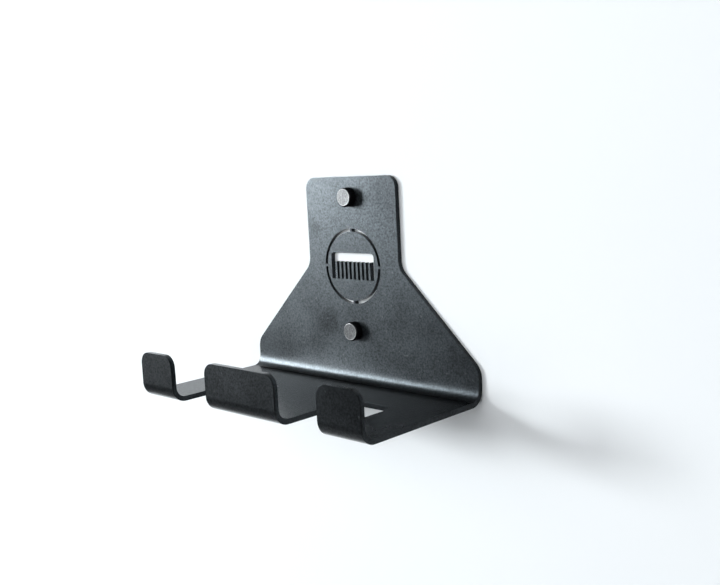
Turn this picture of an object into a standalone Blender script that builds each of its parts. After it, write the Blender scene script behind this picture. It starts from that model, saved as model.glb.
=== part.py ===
"""Wall-mounted hair-tool holder: one folded steel sheet on two covered wall screws.

Units are metres. +Z is up, +Y points into the wall and +X is to the right of someone facing it.
The origin is on the sheet's back face, midway between the two screw holes.
The bracket is drawn as its flat laser-cut blank, then folded, as the real one is.
"""

import math

import bmesh
import bpy
from mathutils import Vector

MM = 0.001

# Sheet and folds
SHEET = 3.0 * MM
FOLD_R = 6.0 * MM  # radius of the inner side of both folds
FOLD_STEPS = 12

# Heights, from the origin
PLATE_TOP_Z = 52.0 * MM
NECK_Z = -1.0 * MM  # where the neck's side meets the sloping side
BASE_Z = -54.0 * MM  # where the sloping side meets the full-width side
SHELF_Z = -70.5 * MM  # top of the shelf
HOOK_TOP_Z = -45.5 * MM

# Widths, all measured from the centre line
NECK_X = 36.5 * MM
BASE_X = 90.5 * MM
CENTRE_ARM_X = 29.0 * MM
SIDE_ARM_X = 60.6 * MM  # inner side of each outer arm

# Depths
SLOT_BACK_Y = -39.0 * MM
HOOK_FRONT_Y = -95.2 * MM  # outer face of the hooks

# Corner radii of the blank
TOP_CORNER_R = 7.0 * MM
SLOPE_CORNER_R = 11.0 * MM
SLOT_CORNER_R = 5.0 * MM
HOOK_CORNER_R = 7.0 * MM
CORNER_STEPS = 7

# Ring and comb cut-out
EMBLEM_Z = -1.2 * MM
RING_OUTER_R = 22.6 * MM
RING_WIDTH = 1.8 * MM
RING_BRIDGE = 1.6 * MM
RING_STEPS = 16  # in each quarter
COMB_X = 17.4 * MM
COMB_TOP = 8.0 * MM  # heights of the comb are from the ring's centre
COMB_SPINE_BOTTOM = 2.6 * MM
COMB_BOTTOM = -8.0 * MM
COMB_CORNER_R = 2.0 * MM
COMB_TEETH = 8  # between the two wider guard teeth
TOOTH_WIDTH = 1.8 * MM
TOOTH_PITCH = 3.4 * MM
GUARD_WIDTH = 3.0 * MM
TOOTH_CORNER_R = 0.7 * MM
TOOTH_CORNER_STEPS = 3

# Wall screws, their covers and their plugs; each fixing is turned about an axis along Y
SCREW_Z = 40.0 * MM  # above and below the origin
SCREW_HOLE_R = 2.5 * MM
GAP = 0.3 * MM  # left between pieces that touch
TURN_STEPS = 32

SHANK_R = 2.0 * MM
SCREW_LENGTH = 30.0 * MM
SCREW_TIP = 4.0 * MM
HEAD_R = 3.5 * MM
HEAD_HEIGHT = 2.0 * MM
RECESS_WIDTH = 1.0 * MM
RECESS_SPAN = 3.8 * MM
RECESS_DEPTH = 1.2 * MM

DISH_FLOOR = 1.0 * MM
DISH_HEIGHT = 2.9 * MM
DISH_WALL = 0.5 * MM

COVER_R = 5.7 * MM
COVER_HEIGHT = 4.8 * MM
COVER_CHAMFER = 0.6 * MM
COVER_FACE = 1.2 * MM

PLUG_R = 3.0 * MM
PLUG_RIB = 0.4 * MM
PLUG_RIB_PITCH = 3.0 * MM
PLUG_RIBS = 6
PLUG_LENGTH = 30.0 * MM
PLUG_COLLAR = 6.0 * MM  # plain length at the mouth
PLUG_TIP_WALL = 2.0 * MM
SLIT_WIDTH = 0.9 * MM
SLIT_START = 9.0 * MM
SLIT_END = 26.0 * MM


def clear_scene():
    for obj in list(bpy.data.objects):
        bpy.data.objects.remove(obj, do_unlink=True)


def plain_material(name, colour, roughness, metallic=0.0):
    material = bpy.data.materials.new(name)
    material.use_nodes = True
    shader = material.node_tree.nodes["Principled BSDF"]
    shader.inputs["Base Color"].default_value = (*colour, 1.0)
    shader.inputs["Roughness"].default_value = roughness
    shader.inputs["Metallic"].default_value = metallic
    return material


def add_object(name, bm, material, location=(0.0, 0.0, 0.0)):
    """Turns the bmesh into a named object with its round stretches smooth."""
    mesh = bpy.data.meshes.new(name)
    bm.to_mesh(mesh)
    bm.free()
    mesh.shade_smooth()
    mesh.set_sharp_from_angle(angle=math.radians(30))
    if material:
        mesh.materials.append(material)
    obj = bpy.data.objects.new(name, mesh)
    obj.location = location
    bpy.context.scene.collection.objects.link(obj)
    return obj


# ---------------------------------------------------------------- flat blank


def fold_run():
    """Lengths along the blank's front face: plate, fold, shelf, fold, hook."""
    fold = FOLD_R * math.pi / 2
    plate = PLATE_TOP_Z - SHELF_Z - FOLD_R
    shelf = -SHEET - FOLD_R - (HOOK_FRONT_Y + SHEET + FOLD_R)
    hook = HOOK_TOP_Z - SHELF_Z - FOLD_R
    return plate, fold, shelf, fold, hook


def run_at_height(z):
    """Distance down the blank from its top edge to a height on the plate."""
    return PLATE_TOP_Z - z


def run_at_depth(y):
    """Distance down the blank from its top edge to a depth on the shelf."""
    plate, fold, _, _, _ = fold_run()
    return plate + fold - SHEET - FOLD_R - y


def rounded(points, steps):
    """Outline through (x, run, radius) corners, each rounded by a tangent arc."""
    outline = []
    for i, (x, run, radius) in enumerate(points):
        corner = Vector((x, run))
        before = (Vector(points[i - 1][:2]) - corner).normalized()
        after = (Vector(points[(i + 1) % len(points)][:2]) - corner).normalized()
        if radius == 0:
            outline.append(corner)
            continue
        half = before.angle(after) / 2
        centre = corner + (before + after).normalized() * (radius / math.sin(half))
        start = corner + before * (radius / math.tan(half)) - centre
        end = corner + after * (radius / math.tan(half)) - centre
        sweep = start.angle_signed(end)
        for step in range(steps + 1):
            angle = -sweep * step / steps
            turned = Vector((
                start.x * math.cos(angle) - start.y * math.sin(angle),
                start.x * math.sin(angle) + start.y * math.cos(angle),
            ))
            outline.append(centre + turned)
    return outline


def mirrored(points):
    """A half outline, given on the +X side, with its mirror image added."""
    return points + [(-x, run, radius) for x, run, radius in reversed(points)]


def blank_outline():
    end = sum(fold_run())
    slot = run_at_depth(SLOT_BACK_Y)
    return rounded(mirrored([
        (NECK_X, 0.0, TOP_CORNER_R),
        (NECK_X, run_at_height(NECK_Z), SLOPE_CORNER_R),
        (BASE_X, run_at_height(BASE_Z), SLOPE_CORNER_R),
        (BASE_X, end, HOOK_CORNER_R),
        (SIDE_ARM_X, end, HOOK_CORNER_R),
        (SIDE_ARM_X, slot, SLOT_CORNER_R),
        (CENTRE_ARM_X, slot, SLOT_CORNER_R),
        (CENTRE_ARM_X, end, HOOK_CORNER_R),
    ]), CORNER_STEPS)


def screw_hole(z):
    centre = Vector((0.0, run_at_height(z)))
    return [
        centre + SCREW_HOLE_R * Vector((math.cos(a), math.sin(a)))
        for a in (2 * math.pi * i / TURN_STEPS for i in range(TURN_STEPS))
    ]


def ring_slot(quarter):
    """One of the ring's four arcs, between two bridges."""
    centre = Vector((0.0, run_at_height(EMBLEM_Z)))
    outline = []
    for radius, order in ((RING_OUTER_R, 1), (RING_OUTER_R - RING_WIDTH, -1)):
        trim = math.asin(RING_BRIDGE / 2 / radius)
        first = quarter * math.pi / 2 + trim
        span = math.pi / 2 - 2 * trim
        for step in range(RING_STEPS + 1)[::order]:
            angle = first + span * step / RING_STEPS
            outline.append(centre + radius * Vector((math.cos(angle), math.sin(angle))))
    return outline


def comb_outline():
    """A comb, as one opening: a spine along the top with teeth hanging from it."""
    middle = run_at_height(EMBLEM_Z)
    spine = middle - COMB_SPINE_BOTTOM
    tip = middle - COMB_BOTTOM
    corners = [(COMB_X, middle - COMB_TOP, COMB_CORNER_R), (COMB_X, tip, TOOTH_CORNER_R)]
    corners += [(COMB_X - GUARD_WIDTH, tip, TOOTH_CORNER_R), (COMB_X - GUARD_WIDTH, spine, 0)]
    for tooth in reversed(range(COMB_TEETH // 2)):
        centre = (tooth + 0.5) * TOOTH_PITCH
        left = centre - TOOTH_WIDTH / 2
        right = centre + TOOTH_WIDTH / 2
        corners += [(right, spine, 0), (right, tip, TOOTH_CORNER_R)]
        corners += [(left, tip, TOOTH_CORNER_R), (left, spine, 0)]
    return rounded(mirrored(corners), TOOTH_CORNER_STEPS)


def fold_rows():
    """Runs at which the blank is divided so that it can fold."""
    rows = []
    start = 0.0
    for i, length in enumerate(fold_run()):
        if i % 2:
            rows += [start + length * step / FOLD_STEPS for step in range(FOLD_STEPS + 1)]
        start += length
    return rows


def folded(x, run, depth):
    """Place of a blank point once folded; depth is 0 on the front face and SHEET on the back."""
    plate, fold, shelf, _, _ = fold_run()
    radius = FOLD_R + depth
    centre_z = SHELF_Z + FOLD_R
    if run <= plate:
        return Vector((x, -SHEET + depth, PLATE_TOP_Z - run))
    run -= plate
    if run <= fold:
        angle = run / FOLD_R
        centre_y = -SHEET - FOLD_R
        return Vector((x, centre_y + radius * math.cos(angle), centre_z - radius * math.sin(angle)))
    run -= fold
    if run <= shelf:
        return Vector((x, -SHEET - FOLD_R - run, SHELF_Z - depth))
    run -= shelf
    centre_y = HOOK_FRONT_Y + SHEET + FOLD_R
    if run <= fold:
        angle = run / FOLD_R
        return Vector((x, centre_y - radius * math.sin(angle), centre_z - radius * math.cos(angle)))
    return Vector((x, centre_y - radius, centre_z + run - fold))


def flat_blank():
    """The blank as a flat slab: x across, y along its run, z through its thickness."""
    bm = bmesh.new()
    loops = [blank_outline(), screw_hole(SCREW_Z), screw_hole(-SCREW_Z)]
    loops += [ring_slot(quarter) for quarter in range(4)]
    loops.append(comb_outline())
    for loop in loops:
        corners = [bm.verts.new((p.x, p.y, 0.0)) for p in loop]
        for i, corner in enumerate(corners):
            bm.edges.new((corners[i - 1], corner))
    bmesh.ops.triangle_fill(bm, use_beauty=True, edges=bm.edges[:], normal=(0.0, 0.0, 1.0))
    front = bm.faces[:]
    extruded = bmesh.ops.extrude_face_region(bm, geom=front, use_keep_orig=True)
    moved = [v for v in extruded["geom"] if isinstance(v, bmesh.types.BMVert)]
    bmesh.ops.translate(bm, verts=moved, vec=(0.0, 0.0, SHEET))
    bmesh.ops.recalc_face_normals(bm, faces=bm.faces[:])
    return bm


def make_bracket(material):
    bm = flat_blank()
    for row in fold_rows():
        parts = bm.verts[:] + bm.edges[:] + bm.faces[:]
        bmesh.ops.bisect_plane(bm, geom=parts, dist=1e-6, plane_co=(0.0, row, 0.0), plane_no=(0.0, 1.0, 0.0))
    for vert in bm.verts:
        vert.co = folded(*vert.co)
    return add_object("bracket", bm, material)


# ------------------------------------------------------------- turned pieces


def turned(name, profile, material, location, closed):
    """Solid turned about Y from (radius, depth) points; depth runs out of the wall, along -Y.

    A closed profile gives a ring; an open one starts and ends on the axis.
    """
    bm = bmesh.new()
    verts = [bm.verts.new((radius, -depth, 0.0)) for radius, depth in profile]
    pairs = list(zip(verts, verts[1:]))
    if closed:
        pairs.append((verts[-1], verts[0]))
    edges = [bm.edges.new(pair) for pair in pairs]
    bmesh.ops.spin(
        bm, geom=verts + edges, cent=(0.0, 0.0, 0.0), axis=(0.0, 1.0, 0.0),
        angle=2 * math.pi, steps=TURN_STEPS, use_merge=True,
    )
    bmesh.ops.remove_doubles(bm, verts=bm.verts[:], dist=1e-7)
    bmesh.ops.recalc_face_normals(bm, faces=bm.faces[:])
    return add_object(name, bm, material, location)


def cut(target, name, size, centre):
    """Cuts a box out of the target; both share the target's place."""
    bm = bmesh.new()
    bmesh.ops.create_cube(bm, size=1.0)
    bmesh.ops.scale(bm, verts=bm.verts[:], vec=size)
    bmesh.ops.translate(bm, verts=bm.verts[:], vec=centre)
    cutter = add_object(name, bm, None, target.location)
    cutter.hide_render = True
    cutter.display_type = "WIRE"
    boolean = target.modifiers.new(name, "BOOLEAN")
    boolean.operation = "DIFFERENCE"
    boolean.solver = "EXACT"
    boolean.object = cutter


def make_cover(name, z, material):
    """Push-fit cap that hides the screw head."""
    back = SHEET + GAP
    front = back + COVER_HEIGHT
    inner_r = cover_inner_radius()
    profile = [
        (0.0, front),
        (COVER_R - COVER_CHAMFER, front),
        (COVER_R, front - COVER_CHAMFER),
        (COVER_R, back),
        (inner_r, back),
        (inner_r, front - COVER_FACE),
        (0.0, front - COVER_FACE),
    ]
    return turned(name, profile, material, (0.0, 0.0, z), closed=False)


def dish_outer_radius():
    return HEAD_R + GAP + DISH_WALL


def cover_inner_radius():
    return dish_outer_radius() + GAP


def make_cover_base(name, z, material):
    """Dished washer under the screw head; the cover pushes over its rim."""
    back = SHEET + GAP
    outer = dish_outer_radius()
    hole = SHANK_R + GAP
    profile = [
        (hole, back),
        (outer, back),
        (outer, back + DISH_HEIGHT),
        (outer - DISH_WALL, back + DISH_HEIGHT),
        (outer - DISH_WALL, back + DISH_FLOOR),
        (hole, back + DISH_FLOOR),
    ]
    return turned(name, profile, material, (0.0, 0.0, z), closed=True)


def make_screw(name, z, material):
    seat = SHEET + GAP + DISH_FLOOR + GAP
    front = seat + HEAD_HEIGHT
    tip = seat - SCREW_LENGTH
    profile = [
        (0.0, front),
        (HEAD_R * 0.8, front),
        (HEAD_R, front - HEAD_HEIGHT * 0.4),
        (HEAD_R, seat),
        (SHANK_R, seat),
        (SHANK_R, tip + SCREW_TIP),
        (0.0, tip),
    ]
    screw = turned(name, profile, material, (0.0, 0.0, z), closed=False)
    depth = 2 * RECESS_DEPTH
    centre = (0.0, -front, 0.0)
    cut(screw, name + "_recess_across", (RECESS_SPAN, depth, RECESS_WIDTH), centre)
    cut(screw, name + "_recess_down", (RECESS_WIDTH, depth, RECESS_SPAN), centre)
    return screw


def make_plug(name, z, material):
    """Expansion plug in the wall: a ribbed tube, split along its middle, with a closed tip."""
    bore = SHANK_R + GAP
    mouth = -GAP
    end = mouth - PLUG_LENGTH
    profile = [(0.0, end + PLUG_TIP_WALL), (bore, end + PLUG_TIP_WALL), (bore, mouth), (PLUG_R, mouth)]
    for rib in range(PLUG_RIBS):
        root = mouth - PLUG_COLLAR - rib * PLUG_RIB_PITCH
        profile += [(PLUG_R, root), (PLUG_R + PLUG_RIB, root - PLUG_RIB)]
        profile += [(PLUG_R, root - PLUG_RIB_PITCH * 0.8)]
    profile += [(PLUG_R, end + PLUG_TIP_WALL), (PLUG_R * 0.6, end), (0.0, end)]
    plug = turned(name, profile, material, (0.0, 0.0, z), closed=False)
    centre = (0.0, (SLIT_START + SLIT_END) / 2, 0.0)
    length = SLIT_END - SLIT_START
    across = 4 * PLUG_R
    cut(plug, name + "_slit_across", (across, length, SLIT_WIDTH), centre)
    cut(plug, name + "_slit_down", (SLIT_WIDTH, length, across), centre)
    return plug


def main():
    clear_scene()
    black_coat = plain_material("black_powder_coat", (0.022, 0.023, 0.025), 0.42)
    cover_black = plain_material("cover_plastic", (0.020, 0.020, 0.021), 0.30)
    base_black = plain_material("base_plastic", (0.035, 0.035, 0.037), 0.50)
    zinc = plain_material("zinc_plate", (0.62, 0.63, 0.64), 0.30, 1.0)
    grey_nylon = plain_material("plug_nylon", (0.42, 0.43, 0.44), 0.55)
    make_bracket(black_coat)
    for place, z in (("upper", SCREW_Z), ("lower", -SCREW_Z)):
        make_cover(place + "_screw_cover", z, cover_black)
        make_cover_base(place + "_cover_base", z, base_black)
        make_screw(place + "_wall_screw", z, zinc)
        make_plug(place + "_wall_plug", z, grey_nylon)


main()
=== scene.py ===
"""The finished look of the wall-mounted hair-tool holder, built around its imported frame.

Units are metres, in the frame's own axes: +Z up, +Y into the wall, +X to the right.
"""

import math

import bmesh
import bpy
from mathutils import Matrix, Vector


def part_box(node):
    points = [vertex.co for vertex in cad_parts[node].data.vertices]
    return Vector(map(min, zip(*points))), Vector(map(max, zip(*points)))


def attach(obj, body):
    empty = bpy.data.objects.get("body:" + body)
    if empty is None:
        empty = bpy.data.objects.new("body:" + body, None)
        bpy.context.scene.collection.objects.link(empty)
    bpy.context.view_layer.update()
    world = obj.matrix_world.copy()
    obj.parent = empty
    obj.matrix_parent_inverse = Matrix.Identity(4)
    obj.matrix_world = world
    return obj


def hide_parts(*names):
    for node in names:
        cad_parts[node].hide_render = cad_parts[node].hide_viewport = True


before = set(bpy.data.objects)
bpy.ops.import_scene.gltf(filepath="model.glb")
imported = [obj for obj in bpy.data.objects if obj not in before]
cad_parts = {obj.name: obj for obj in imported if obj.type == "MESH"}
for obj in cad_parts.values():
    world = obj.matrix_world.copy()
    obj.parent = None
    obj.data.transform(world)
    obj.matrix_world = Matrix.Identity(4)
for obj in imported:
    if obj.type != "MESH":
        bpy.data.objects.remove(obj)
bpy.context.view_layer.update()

MM = 0.001

# Edges and turned pieces
SHEET = 3.0 * MM
SHEET_EDGE_R = 0.38 * MM  # rounding that the coat leaves on a cut edge
MOULDED_EDGE_R = 0.12 * MM
COVER_WALL = 1.1 * MM
COVER_FACE = 1.2 * MM
COVER_SHOULDER = 0.62 * MM
COVER_SOFT_R = 0.12 * MM  # rounding of the cap's corners
COVER_SINK = 0.05 * MM  # depth of the face below the top of its outer ring
COVER_RIM = 0.55 * MM  # width of the band round the face whose gloss is doubled, a painted highlight
# Raised rings on a cover's face: distance in from the edge, half width and height, in mm
COVER_BEADS = ((0.30, 0.26, 0.05), (1.75, 0.22, 0.03))
FACE_STEPS = 48
TURN_STEPS = 72

# Shelf fold: the plate leans forward by a hair as it nears the fold
FOLD_R = 6.0 * MM  # inside radius, measured up from the shelf
LEAN_ROWS = (6.0, 6.8, 7.8, 9.0, 11.0, 14.0, 17.5, 21.5, 26.0)  # mm above the shelf
LEAN_NEAR = 0.115 * MM
LEAN_NEAR_RUN = 1.6 * MM
LEAN_FAR = 0.070 * MM
LEAN_FAR_RUN = 8.0 * MM
LEAN_CARRY = 5.4  # carries the slope of the lean on into the fold

# Screw
HEAD_DEPTH = 2.0 * MM
SHANK_PER_HEAD = 4 / 7  # shank radius over head radius
THREAD_START = -1.0 * MM  # depth where the thread begins, behind the sheet
THREAD_PITCH = 1.4 * MM
THREAD_DEPTH = 0.45 * MM
THREAD_RINGS_PER_TURN = 8
TIP_LENGTH = 4.0 * MM
TIP_R = 0.05 * MM
RECESS_SIZE = Vector((3.8, 2.4, 1.0)) * MM  # length, twice the depth, and width of each arm of the cross

# Smudges on the plate, then two blots of painted shade at its lower and upper right: x and z of the middle
# and reach, in mm, then the share of gloss lost
SMUDGES_AND_SHADE = (
    (-21.0, -36.0, 13.0, 0.45),
    (-31.0, 21.0, 9.0, 0.30),
    # Painted shade: these two blots dim the plate's gloss at its lower right and upper right
    (92.0, -52.0, 34.0, 0.40),
    (32.0, 42.0, 30.0, 0.24),
)

# Coat: how much of its gloss it keeps on the hooks' fronts, painted shade that darkens them, and where
# another part of it mirrors it
HOOK_FRONT_SHADE_GLOSS = 0.36
MIRRORED_GLOSS = 0.24
GLANCING_ROUGHNESS = 0.27  # share of its roughness left at a glancing angle

# Room
WALL_GAP = 0.1 * MM
WALL_SIZE = 6.0
FLOOR_DROP = 0.9  # floor level below the origin
CAMERA_AT = Vector((0.3894, -0.4002, 0.0597))
CAMERA_TURN = math.radians(44.05)  # anticlockwise from looking straight at the wall
CAMERA_DIP = math.radians(7.86)
CAMERA_ROLL = math.radians(-2.89)
CAMERA_LENS = 46.97
WHITE = (1.0, 1.0, 1.0)
DAYLIGHT = (0.91, 0.97, 1.0)
ROOM_LIGHT = (0.93, 0.97, 1.0)


# ------------------------------------------------------------------ materials


class Nodes:
    """Small helper that adds and joins shader nodes."""

    def __init__(self, name):
        self.material = bpy.data.materials.new(name)
        self.material.use_nodes = True
        self.tree = self.material.node_tree
        self.shader = self.tree.nodes["Principled BSDF"]
        self.output = self.tree.nodes["Material Output"]

    def add(self, kind, inputs=None, **settings):
        node = self.tree.nodes.new(kind)
        for key, value in settings.items():
            setattr(node, key, value)
        for key, value in (inputs or {}).items():
            self.feed(node, key, value)
        return node

    def feed(self, node, key, value):
        """Sets an input, or links it when the value is another node's output."""
        if isinstance(value, bpy.types.NodeSocket):
            self.tree.links.new(value, node.inputs[key])
        else:
            node.inputs[key].default_value = value

    def place(self):
        """Object-space coordinates, which stay with the piece as it moves."""
        return self.add("ShaderNodeTexCoord").outputs["Object"]

    def noise(self, scale, detail=3.0, roughness=0.55, vector=None):
        inputs = {"Vector": vector or self.place(), "Scale": scale, "Detail": detail, "Roughness": roughness}
        return self.add("ShaderNodeTexNoise", inputs).outputs["Fac"]

    def spread(self, value, low, high, to_low, to_high):
        inputs = {"Value": value, "From Min": low, "From Max": high, "To Min": to_low, "To Max": to_high}
        return self.add("ShaderNodeMapRange", inputs).outputs["Result"]

    def stretched(self, scale, turn=0.0):
        """Coordinates drawn out along one way, turned in the plane of the plate."""
        inputs = {"Vector": self.place(), "Scale": scale, "Rotation": (0.0, turn, 0.0)}
        return self.add("ShaderNodeMapping", inputs).outputs["Vector"]

    def gloss_blot(self, x, z, size, loss):
        """A soft-edged, uneven blot on the plate, where the gloss drops by a share."""
        inputs = {"Vector": self.place(), "Location": (-x, 0.0, -z)}
        around = self.add("ShaderNodeMapping", inputs).outputs["Vector"]
        away = self.distance(around, (1.0, 0.0, 1.25))
        ragged = self.math("MULTIPLY_ADD", self.noise(110.0, 3.0, 0.6), 0.9 * size)
        ragged.node.inputs[2].default_value = -0.45 * size
        return self.spread(self.math("ADD", away, ragged), 0.35 * size, size, 1.0 - loss, 1.0)

    def distance(self, vector, scale):
        """Length of a vector, once its parts are scaled."""
        scaled = self.add("ShaderNodeVectorMath", {0: vector, 1: scale}, operation="MULTIPLY").outputs[0]
        return self.add("ShaderNodeVectorMath", {0: scaled}, operation="LENGTH").outputs["Value"]

    def math(self, operation, a, b=0.0):
        return self.add("ShaderNodeMath", {0: a, 1: b}, operation=operation).outputs[0]

    def mix_colour(self, share, a, b):
        node = self.add("ShaderNodeMix", data_type="RGBA")
        self.feed(node, "Factor", share)
        for socket, value in (("A", a), ("B", b)):
            colour_input = [i for i in node.inputs if i.name == socket and i.type == "RGBA"][0]
            if isinstance(value, bpy.types.NodeSocket):
                self.tree.links.new(value, colour_input)
            else:
                colour_input.default_value = (*value, 1.0)
        return [o for o in node.outputs if o.type == "RGBA"][0]

    def bump(self, height, distance, strength=1.0, normal=None):
        inputs = {"Height": height, "Distance": distance, "Strength": strength}
        if normal:
            inputs["Normal"] = normal
        return self.add("ShaderNodeBump", inputs).outputs["Normal"]

    def finish(self, colour, roughness, normal, metallic=0.0, specular=0.5):
        shader = self.shader
        self.feed(shader, "Base Color", colour)
        self.feed(shader, "Roughness", roughness)
        self.feed(shader, "Normal", normal)
        self.feed(shader, "Metallic", metallic)
        self.feed(shader, "Specular IOR Level", specular)
        return self.material


def powder_coat():
    """Black fine-texture powder coat: a pebbled skin, hand smudges, rubbed specks and fine scratches; its
    gloss is also dimmed on the hooks' fronts and at the plate's lower and upper right as painted shade.

    Like any rough paint it turns shinier where it is seen at a glancing angle.
    """
    n = Nodes("black_powder_coat_look")
    pebble = n.noise(2600.0, 2.0, 0.5)
    grain = n.noise(900.0, 3.0, 0.6)
    flow = n.noise(60.0, 2.0, 0.5)
    speck = n.noise(420.0, 1.0, 0.4)
    scratch = n.noise(1.0, 2.0, 0.5, n.stretched((60.0, 60.0, 2400.0), 0.35))
    shade = n.spread(grain, 0.35, 0.65, 0.0, 1.0)
    colour = n.mix_colour(shade, (0.0026, 0.0030, 0.0034), (0.0048, 0.0053, 0.0060))
    specks = n.spread(speck, 0.72, 0.79, 0.0, 0.6)
    rubbed = n.math("MAXIMUM", specks, n.spread(scratch, 0.70, 0.76, 0.0, 0.35))
    colour = n.mix_colour(rubbed, colour, (0.040, 0.042, 0.045))
    slant = n.add("ShaderNodeLayerWeight", {"Blend": 0.5}).outputs["Facing"]
    glancing = n.spread(slant, 0.62, 0.86, 0.0, 1.0)
    patch = n.noise(38.0, 3.0, 0.55)
    rough = n.spread(patch, 0.35, 0.70, 0.35, 0.41)
    roughness = n.math("MULTIPLY", rough, n.spread(glancing, 0.0, 1.0, 1.0, GLANCING_ROUGHNESS))
    relief = n.spread(glancing, 0.0, 1.0, 0.50, 0.08)
    normal = n.bump(flow, 0.10 * MM, 0.25)
    normal = n.bump(grain, 0.06 * MM, relief, normal)
    normal = n.bump(pebble, 0.02 * MM, relief, normal)
    gloss = n.spread(grain, 0.30, 0.70, 0.14, 0.44)
    gloss = n.math("MULTIPLY", gloss, n.spread(patch, 0.30, 0.70, 0.93, 1.07))
    # Real smudges, and the last two blots, which are painted shade on the plate's right
    for x, z, size, loss in SMUDGES_AND_SHADE:
        gloss = n.math("MULTIPLY", gloss, n.gloss_blot(x * MM, z * MM, size * MM, loss))
    hook_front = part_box("bracket")[0].y
    depth = n.add("ShaderNodeSeparateXYZ", {"Vector": n.place()}).outputs["Y"]
    # Painted shade: the hooks' fronts keep only part of their gloss, so they read darker
    hook_front_shade = n.spread(depth, hook_front + 0.2 * MM, hook_front + 1.7 * MM, HOOK_FRONT_SHADE_GLOSS, 1.0)
    gloss = n.math("MULTIPLY", gloss, hook_front_shade)
    mirrored = n.add("ShaderNodeLightPath").outputs["Is Glossy Ray"]
    gloss = n.math("MULTIPLY", gloss, n.spread(mirrored, 0.0, 1.0, 1.0, MIRRORED_GLOSS))
    # Bluish tint in the coat's reflections: partly the coat's own tone, partly painted light standing in for
    # bluish daylight
    n.feed(n.shader, "Specular Tint", (0.77, 0.90, 1.0, 1.0))
    return n.finish(colour, roughness, normal, specular=gloss)


def cover_plastic(face_r):
    """Black moulding with a lightly scuffed face; its gloss is doubled in a band at the face's rim, a painted
    highlight, and nearly gone on the shoulder and side, painted shade that keeps them black.
    """
    n = Nodes("cover_plastic_look")
    haze = n.noise(500.0, 3.0, 0.6)
    speck = n.noise(1100.0, 1.0, 0.5)
    fine = n.noise(2400.0, 2.0, 0.5)
    colour = n.mix_colour(n.spread(haze, 0.35, 0.65, 0.0, 1.0), (0.004, 0.004, 0.005), (0.009, 0.009, 0.010))
    roughness = n.spread(haze, 0.30, 0.70, 0.34, 0.46)
    normal = n.bump(haze, 0.04 * MM, 0.60)
    normal = n.bump(fine, 0.01 * MM, 0.40, normal)
    radius = n.distance(n.place(), (1.0, 0.0, 1.0))
    # Painted highlight: doubled gloss in a band at the face's rim; painted shade: almost no gloss on the
    # shoulder and side
    rim = n.spread(radius, face_r - COVER_RIM - 0.1 * MM, face_r - COVER_RIM, 1.0, 2.0)
    side = n.spread(radius, face_r - 0.05 * MM, face_r + 0.05 * MM, 1.0, 0.06)
    scuffed = n.spread(haze, 0.30, 0.70, 0.42, 0.60)
    scuffed = n.math("MULTIPLY", scuffed, n.spread(speck, 0.32, 0.68, 0.65, 1.35))
    gloss = n.math("MULTIPLY", scuffed, n.math("MULTIPLY", rim, side))
    return n.finish(colour, roughness, normal, specular=gloss)


def moulded_plastic(name, dark, light, roughness_low, roughness_high):
    """Plain moulding with a faint spark-eroded skin and slight flow marks."""
    n = Nodes(name)
    grain = n.noise(1500.0, 3.0, 0.6)
    flow = n.noise(140.0, 2.0, 0.5)
    colour = n.mix_colour(n.spread(flow, 0.35, 0.65, 0.0, 1.0), dark, light)
    roughness = n.spread(grain, 0.30, 0.70, roughness_low, roughness_high)
    normal = n.bump(grain, 0.02 * MM, 0.40)
    return n.finish(colour, roughness, normal)


def zinc_plate():
    """Bright zinc: a slightly blue metal with drawn lines round the shank and duller patches."""
    n = Nodes("zinc_plate_look")
    lines = n.noise(1.0, 2.0, 0.5, n.stretched((250.0, 9000.0, 250.0)))
    patch = n.noise(320.0, 3.0, 0.6)
    colour = n.mix_colour(n.spread(patch, 0.35, 0.65, 0.0, 1.0), (0.56, 0.58, 0.61), (0.70, 0.71, 0.72))
    roughness = n.spread(patch, 0.30, 0.70, 0.22, 0.38)
    normal = n.bump(lines, 0.01 * MM, 0.30)
    return n.finish(colour, roughness, normal, metallic=1.0)


def wall_paint():
    """White wall that is seen from the front only, so that the holder's back stays in view from behind."""
    n = Nodes("wall_paint")
    roller = n.noise(300.0, 4.0, 0.6)
    n.finish((0.82, 0.825, 0.83, 1.0), 0.9, n.bump(roller, 0.10 * MM, 0.25), specular=0.1)
    behind = n.add("ShaderNodeNewGeometry").outputs["Backfacing"]
    length = n.add("ShaderNodeLightPath").outputs["Ray Length"]
    touching = n.math("LESS_THAN", length, 3 * WALL_GAP)
    clear = n.add("ShaderNodeBsdfTransparent").outputs["BSDF"]
    see_through = n.math("MAXIMUM", behind, touching)
    mix = n.add("ShaderNodeMixShader", {0: see_through, 1: n.shader.outputs["BSDF"], 2: clear})
    n.feed(n.output, "Surface", mix.outputs["Shader"])
    return n.material


def floor_paint():
    """Pale to the camera; it throws little light back up, as a floor in a deep room does."""
    n = Nodes("floor_paint")
    mottle = n.noise(40.0, 4.0, 0.6)
    colour = n.mix_colour(n.spread(mottle, 0.3, 0.7, 0.0, 1.0), (0.74, 0.745, 0.75), (0.78, 0.785, 0.79))
    seen = n.add("ShaderNodeLightPath").outputs["Is Camera Ray"]
    colour = n.mix_colour(seen, (0.12, 0.12, 0.12), colour)
    return n.finish(colour, 0.8, n.bump(mottle, 0.2 * MM, 0.3), specular=0.2)


# --------------------------------------------------------------------- pieces


def add_piece(name, bm, material):
    mesh = bpy.data.meshes.new(name)
    bm.to_mesh(mesh)
    bm.free()
    mesh.materials.append(material)
    obj = bpy.data.objects.new(name, mesh)
    bpy.context.scene.collection.objects.link(obj)
    return obj


def shade(obj, angle):
    obj.data.shade_smooth()
    obj.data.set_sharp_from_angle(angle=math.radians(angle))


def settle(obj):
    """Applies the object's modifiers to its mesh."""
    graph = bpy.context.evaluated_depsgraph_get()
    mesh = bpy.data.meshes.new_from_object(obj.evaluated_get(graph))
    obj.modifiers.clear()
    obj.data = mesh


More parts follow.
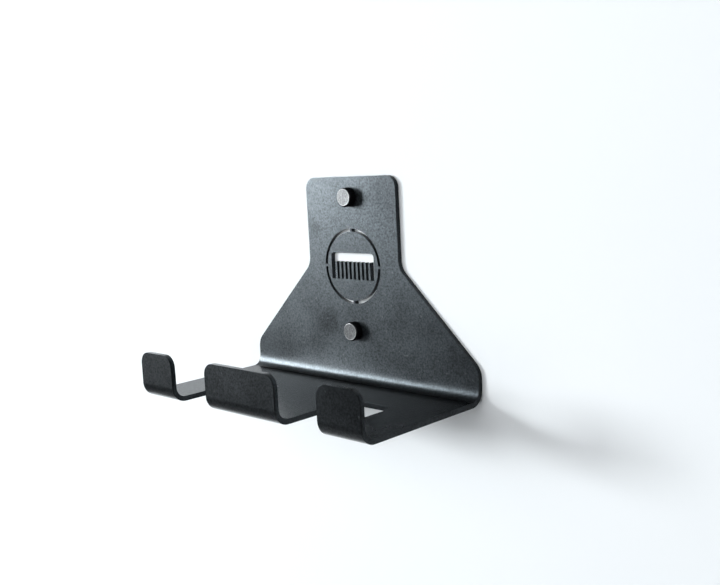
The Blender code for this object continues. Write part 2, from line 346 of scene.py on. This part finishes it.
def round_edges(obj, radius, segments):
    bevel = obj.modifiers.new("edge_rounding", "BEVEL")
    bevel.width = radius
    bevel.segments = segments
    bevel.limit_method = "ANGLE"
    bevel.angle_limit = math.radians(30)
    bevel.harden_normals = True
    bevel.use_clamp_overlap = True


def lean(rise):
    """How far forward the plate has crept, at a height above the shelf."""
    top = LEAN_ROWS[-1] * MM
    if rise <= 0 or rise >= top:
        return 0.0
    if rise < FOLD_R:
        share = rise / FOLD_R
        return lean(FOLD_R) * share ** 2 * (LEAN_CARRY - (LEAN_CARRY - 1) * share)
    near = LEAN_NEAR * math.exp((FOLD_R - rise) / LEAN_NEAR_RUN)
    far = LEAN_FAR * (math.exp((FOLD_R - rise) / LEAN_FAR_RUN) - math.exp((FOLD_R - top) / LEAN_FAR_RUN))
    return near + far


def ease_fold(bm):
    """Adds rows to the plate above the shelf fold and leans them, without touching arms or hooks."""
    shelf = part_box("bracket")[0].z + SHEET
    reach = -(2 * FOLD_R + SHEET)
    for row in LEAN_ROWS:
        faces = [f for f in bm.faces if min(v.co.y for v in f.verts) > reach]
        geom = faces + list({e for f in faces for e in f.edges}) + list({v for f in faces for v in f.verts})
        bmesh.ops.bisect_plane(
            bm, geom=geom, dist=1e-7, plane_co=(0.0, 0.0, shelf + row * MM), plane_no=(0.0, 0.0, 1.0),
        )
    for vert in bm.verts:
        if vert.co.y > reach:
            vert.co.y -= lean(vert.co.z - shelf)


def softened_copy(name, node, material, radius, segments, reshape=None):
    """A CAD node's own shape as a new piece, with its flat faces whole and its sharp edges rounded."""
    bm = bmesh.new()
    bm.from_mesh(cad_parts[node].data)
    bmesh.ops.remove_doubles(bm, verts=bm.verts[:], dist=1e-6)
    bmesh.ops.dissolve_limit(
        bm, angle_limit=math.radians(0.5), verts=bm.verts[:], edges=bm.edges[:],
    )
    if reshape:
        reshape(bm)
    piece = add_piece(name, bm, material)
    shade(piece, 30)
    round_edges(piece, radius, segments)
    settle(piece)
    return piece


def turned(name, rings, material):
    """Skins rings of points, each a (depth, list of radii) pair; depth runs out of the wall, along -Y."""
    bm = bmesh.new()
    rows = []
    for depth, radii in rings:
        if max(radii) == 0:
            rows.append([bm.verts.new((0.0, -depth, 0.0))] * len(radii))
            continue
        row = []
        for i, radius in enumerate(radii):
            angle = 2 * math.pi * i / len(radii)
            row.append(bm.verts.new((radius * math.cos(angle), -depth, radius * math.sin(angle))))
        rows.append(row)
    for near, far in zip(rows, rows[1:]):
        for i in range(len(near)):
            j = (i + 1) % len(near)
            corners = list(dict.fromkeys((near[i], near[j], far[j], far[i])))
            if len(corners) > 2:
                bm.faces.new(corners)
    bmesh.ops.recalc_face_normals(bm, faces=bm.faces[:])
    return add_piece(name, bm, material)


def arc(radius, depth, size, start, end, steps):
    """Points round a small corner, as (depth, radius) pairs; angles are in degrees from +radius."""
    points = []
    for i in range(steps + 1):
        angle = math.radians(start + (end - start) * i / steps)
        points.append((depth + size * math.sin(angle), radius + size * math.cos(angle)))
    return points


def face_depth(front, inset):
    """Depth of a cover's slightly sunk face, with its raised rings, at a distance in from its edge."""
    depth = front - COVER_SINK
    for middle, half, height in COVER_BEADS:
        away = abs(inset - middle * MM) / (half * MM)
        if away < 1:
            depth += height * MM * math.cos(away * math.pi / 2) ** 2
    return depth


def cover_piece(place, material):
    """The push-fit cap: a ringed face, a sloping shoulder with soft corners and an open back."""
    low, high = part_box(place + "_screw_cover")
    outer = (high.x - low.x) / 2
    front = -low.y
    back = -high.y
    soft = COVER_SOFT_R
    face_r = outer - COVER_SHOULDER
    points = []
    for i in range(FACE_STEPS + 1):
        radius = (face_r - soft) * i / FACE_STEPS
        points.append((face_depth(front, face_r - radius), radius))
    points += arc(face_r - soft, front - COVER_SINK - soft, soft, 80, 45, 3)
    points += arc(outer - soft, front - COVER_SHOULDER - soft, soft, 45, 0, 3)
    points += arc(outer - soft, back + soft, soft, 0, -90, 4)
    inner = outer - COVER_WALL
    points += arc(inner + soft, back + soft, soft, -90, -180, 3)
    points += arc(inner - 4 * soft, front - COVER_FACE - 4 * soft, 4 * soft, 0, 90, 4)
    points.append((front - COVER_FACE, 0.0))
    rings = [(depth, [radius] * TURN_STEPS) for depth, radius in points]
    piece = turned(place + "_cover_cap", rings, material)
    piece.location = ((low.x + high.x) / 2, 0.0, (low.z + high.z) / 2)
    shade(piece, 40)
    return piece


def screw_piece(place, material):
    """Threaded wood screw with a pan head and a cross recess."""
    low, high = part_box(place + "_wall_screw")
    head_r = (high.x - low.x) / 2
    front = -low.y
    tip = -high.y
    shank_r = head_r * SHANK_PER_HEAD
    seat = front - HEAD_DEPTH
    points = [(front, 0.0), (front - 0.02 * MM, head_r * 0.35), (front - 0.12 * MM, head_r * 0.68)]
    points += [(front - 0.40 * MM, head_r * 0.88), (front - 0.80 * MM, head_r)]
    points += [(seat + 0.1 * MM, head_r), (seat, head_r - 0.1 * MM), (seat, shank_r)]
    rings = [(depth, [radius] * TURN_STEPS) for depth, radius in points]
    rings.append((THREAD_START, [shank_r] * TURN_STEPS))
    count = int((THREAD_START - tip) / THREAD_PITCH * THREAD_RINGS_PER_TURN)
    for ring in range(1, count):
        depth = THREAD_START - (THREAD_START - tip) * ring / count
        taper = min(1.0, (depth - tip) / TIP_LENGTH)
        fade = min(1.0, ring / (2 * THREAD_RINGS_PER_TURN))
        radii = []
        for i in range(TURN_STEPS):
            phase = (depth / THREAD_PITCH + i / TURN_STEPS) % 1.0
            groove = THREAD_DEPTH * fade * min(1.0, abs(phase - 0.5) * 3.0)
            radii.append(max((shank_r - groove) * taper, TIP_R))
        rings.append((depth, radii))
    rings.append((tip, [0.0] * TURN_STEPS))
    piece = turned(place + "_screw", rings, material)
    piece.location = ((low.x + high.x) / 2, 0.0, (low.z + high.z) / 2)
    cut_recess(piece, front)
    shade(piece, 35)
    return piece


def cut_recess(piece, front):
    """Cross recess that narrows to its floor."""
    for turn in (0.0, math.pi / 2):
        bm = bmesh.new()
        bmesh.ops.create_cube(bm, size=1.0)
        bmesh.ops.scale(bm, verts=bm.verts[:], vec=RECESS_SIZE)
        for vert in bm.verts:
            if vert.co.y > 0:
                vert.co.x *= 0.55
                vert.co.z *= 0.75
        bmesh.ops.rotate(bm, verts=bm.verts[:], matrix=Matrix.Rotation(turn, 3, "Y"))
        bmesh.ops.translate(bm, verts=bm.verts[:], vec=(0.0, -front, 0.0))
        cutter = add_piece("recess_cutter", bm, piece.data.materials[0])
        cutter.location = piece.location
        boolean = piece.modifiers.new("recess", "BOOLEAN")
        boolean.object = cutter
        bpy.context.view_layer.update()
        settle(piece)
        bpy.data.objects.remove(cutter)


def place_piece(piece, body, node):
    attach(piece, body)
    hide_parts(node)


def build_holder():
    coat = powder_coat()
    cover_low, cover_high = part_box("upper_screw_cover")
    cover_look = cover_plastic((cover_high.x - cover_low.x) / 2 - COVER_SHOULDER)
    base_look = moulded_plastic("base_plastic_look", (0.026, 0.026, 0.028), (0.036, 0.036, 0.038), 0.42, 0.56)
    plug_look = moulded_plastic("plug_nylon_look", (0.36, 0.37, 0.385), (0.44, 0.45, 0.46), 0.45, 0.60)
    zinc = zinc_plate()
    sheet = softened_copy("folded_sheet", "bracket", coat, SHEET_EDGE_R, 3, ease_fold)
    place_piece(sheet, "holder", "bracket")
    for place in ("upper", "lower"):
        cap = cover_piece(place, cover_look)
        place_piece(cap, place + "_cover", place + "_screw_cover")
        base = softened_copy(place + "_cover_dish", place + "_cover_base", base_look, MOULDED_EDGE_R, 2)
        place_piece(base, "holder", place + "_cover_base")
        screw = screw_piece(place, zinc)
        place_piece(screw, "holder", place + "_wall_screw")
        plug = softened_copy(place + "_expansion_plug", place + "_wall_plug", plug_look, MOULDED_EDGE_R, 2)
        place_piece(plug, "holder", place + "_wall_plug")


# ----------------------------------------------------------------------- room


def plane(name, size, centre, facing, material):
    bm = bmesh.new()
    bmesh.ops.create_grid(bm, x_segments=1, y_segments=1, size=size / 2)
    turn = Vector((0.0, 0.0, 1.0)).rotation_difference(Vector(facing)).to_matrix()
    bmesh.ops.rotate(bm, verts=bm.verts[:], matrix=turn)
    bmesh.ops.translate(bm, verts=bm.verts[:], vec=centre)
    obj = add_piece(name, bm, material)
    return obj


def light_from(name, left, rise, distance, width, height, power, colour=WHITE):
    """Area light that faces the origin; left is degrees from straight out of the wall, rise degrees up."""
    turn = math.radians(left)
    lift = math.radians(rise)
    away = Vector((-math.sin(turn) * math.cos(lift), -math.cos(turn) * math.cos(lift), math.sin(lift)))
    data = bpy.data.lights.new(name, "AREA")
    data.shape = "RECTANGLE"
    data.size = width
    data.size_y = height
    data.energy = power
    data.color = colour
    obj = bpy.data.objects.new(name, data)
    obj.location = away * distance
    obj.rotation_euler = away.to_track_quat("Z", "Y").to_euler()
    obj.visible_camera = False
    bpy.context.scene.collection.objects.link(obj)
    return obj


def wall_light(*settings):
    """Lights surfaces and casts shadows, but leaves no highlight."""
    light_from(*settings).visible_glossy = False


def sheen_light(*settings):
    """Shows as a highlight only."""
    light_from(*settings).visible_diffuse = False


def make_world():
    """Pale to the camera; as a light it is brighter overhead and dim near the floor."""
    world = bpy.data.worlds.new("room_light")
    bpy.context.scene.world = world
    world.use_nodes = True
    tree = world.node_tree
    back = tree.nodes["Background"]
    place = tree.nodes.new("ShaderNodeTexCoord")
    split = tree.nodes.new("ShaderNodeSeparateXYZ")
    ramp = tree.nodes.new("ShaderNodeValToRGB")
    path = tree.nodes.new("ShaderNodeLightPath")
    seen = tree.nodes.new("ShaderNodeBackground")
    mix = tree.nodes.new("ShaderNodeMixShader")
    links = tree.links
    links.new(place.outputs["Generated"], split.inputs["Vector"])
    links.new(split.outputs["Z"], ramp.inputs["Fac"])
    stops = ramp.color_ramp.elements
    stops[0].position = 0.0
    stops[0].color = (0.05, 0.052, 0.055, 1.0)
    stops[1].position = 0.55
    stops[1].color = (0.75, 0.76, 0.78, 1.0)
    links.new(ramp.outputs["Color"], back.inputs["Color"])
    back.inputs["Strength"].default_value = 0.10
    seen.inputs["Color"].default_value = (0.88, 0.885, 0.89, 1.0)
    links.new(path.outputs["Is Camera Ray"], mix.inputs[0])
    links.new(back.outputs["Background"], mix.inputs[1])
    links.new(seen.outputs["Background"], mix.inputs[2])
    links.new(mix.outputs["Shader"], tree.nodes["World Output"].inputs["Surface"])


def make_camera():
    data = bpy.data.cameras.new("camera")
    data.lens = CAMERA_LENS
    data.sensor_width = 36.0
    data.clip_start = 0.01
    camera = bpy.data.objects.new("camera", data)
    forward = Vector((
        -math.sin(CAMERA_TURN) * math.cos(CAMERA_DIP),
        math.cos(CAMERA_TURN) * math.cos(CAMERA_DIP),
        -math.sin(CAMERA_DIP),
    ))
    right = forward.cross(Vector((0.0, 0.0, 1.0))).normalized()
    up = right.cross(forward)
    level = Matrix((right, up, -forward)).transposed()
    rolled = level @ Matrix.Rotation(CAMERA_ROLL, 3, "Z")
    camera.matrix_world = Matrix.Translation(CAMERA_AT) @ rolled.to_4x4()
    bpy.context.scene.collection.objects.link(camera)
    bpy.context.scene.camera = camera


def make_room():
    plane("wall", WALL_SIZE, (0.0, WALL_GAP, WALL_SIZE / 2 - FLOOR_DROP), (0.0, -1.0, 0.0), wall_paint())
    plane("floor", WALL_SIZE, (0.0, 0.0, -FLOOR_DROP), (0.0, 0.0, 1.0), floor_paint())
    wall_light("window", 41.6, 9.0, 2.0, 0.62, 0.34, 33.0, DAYLIGHT)
    wall_light("room_fill", 2.0, 10.0, 2.5, 3.0, 2.4, 55.0, ROOM_LIGHT)
    sheen_light("window_sheen", 57.5, 13.2, 2.0, 0.64, 1.05, 134.0, DAYLIGHT)
    sheen_light("high_window_sheen", 64.0, 18.0, 2.0, 0.70, 0.50, 20.0, DAYLIGHT)
    sheen_light("side_sheen", -38.0, 14.0, 2.0, 1.0, 1.2, 26.0)
    sheen_light("front_sheen", 6.0, 16.0, 2.0, 1.2, 0.9, 26.0, ROOM_LIGHT)
    sheen_light("under_sheen", 0.0, -60.0, 0.95, 1.1, 0.8, 9.0)
    light_from("back_fill", 160.0, 35.0, 2.2, 1.4, 1.4, 40.0)
    light_from("back_fill_low", -140.0, 5.0, 2.0, 1.2, 1.2, 22.0)
    make_world()
    make_camera()
    scene = bpy.context.scene
    scene.view_settings.view_transform = "Standard"
    scene.view_settings.look = "None"
    scene.view_settings.exposure = 0.0


build_holder()
make_room()
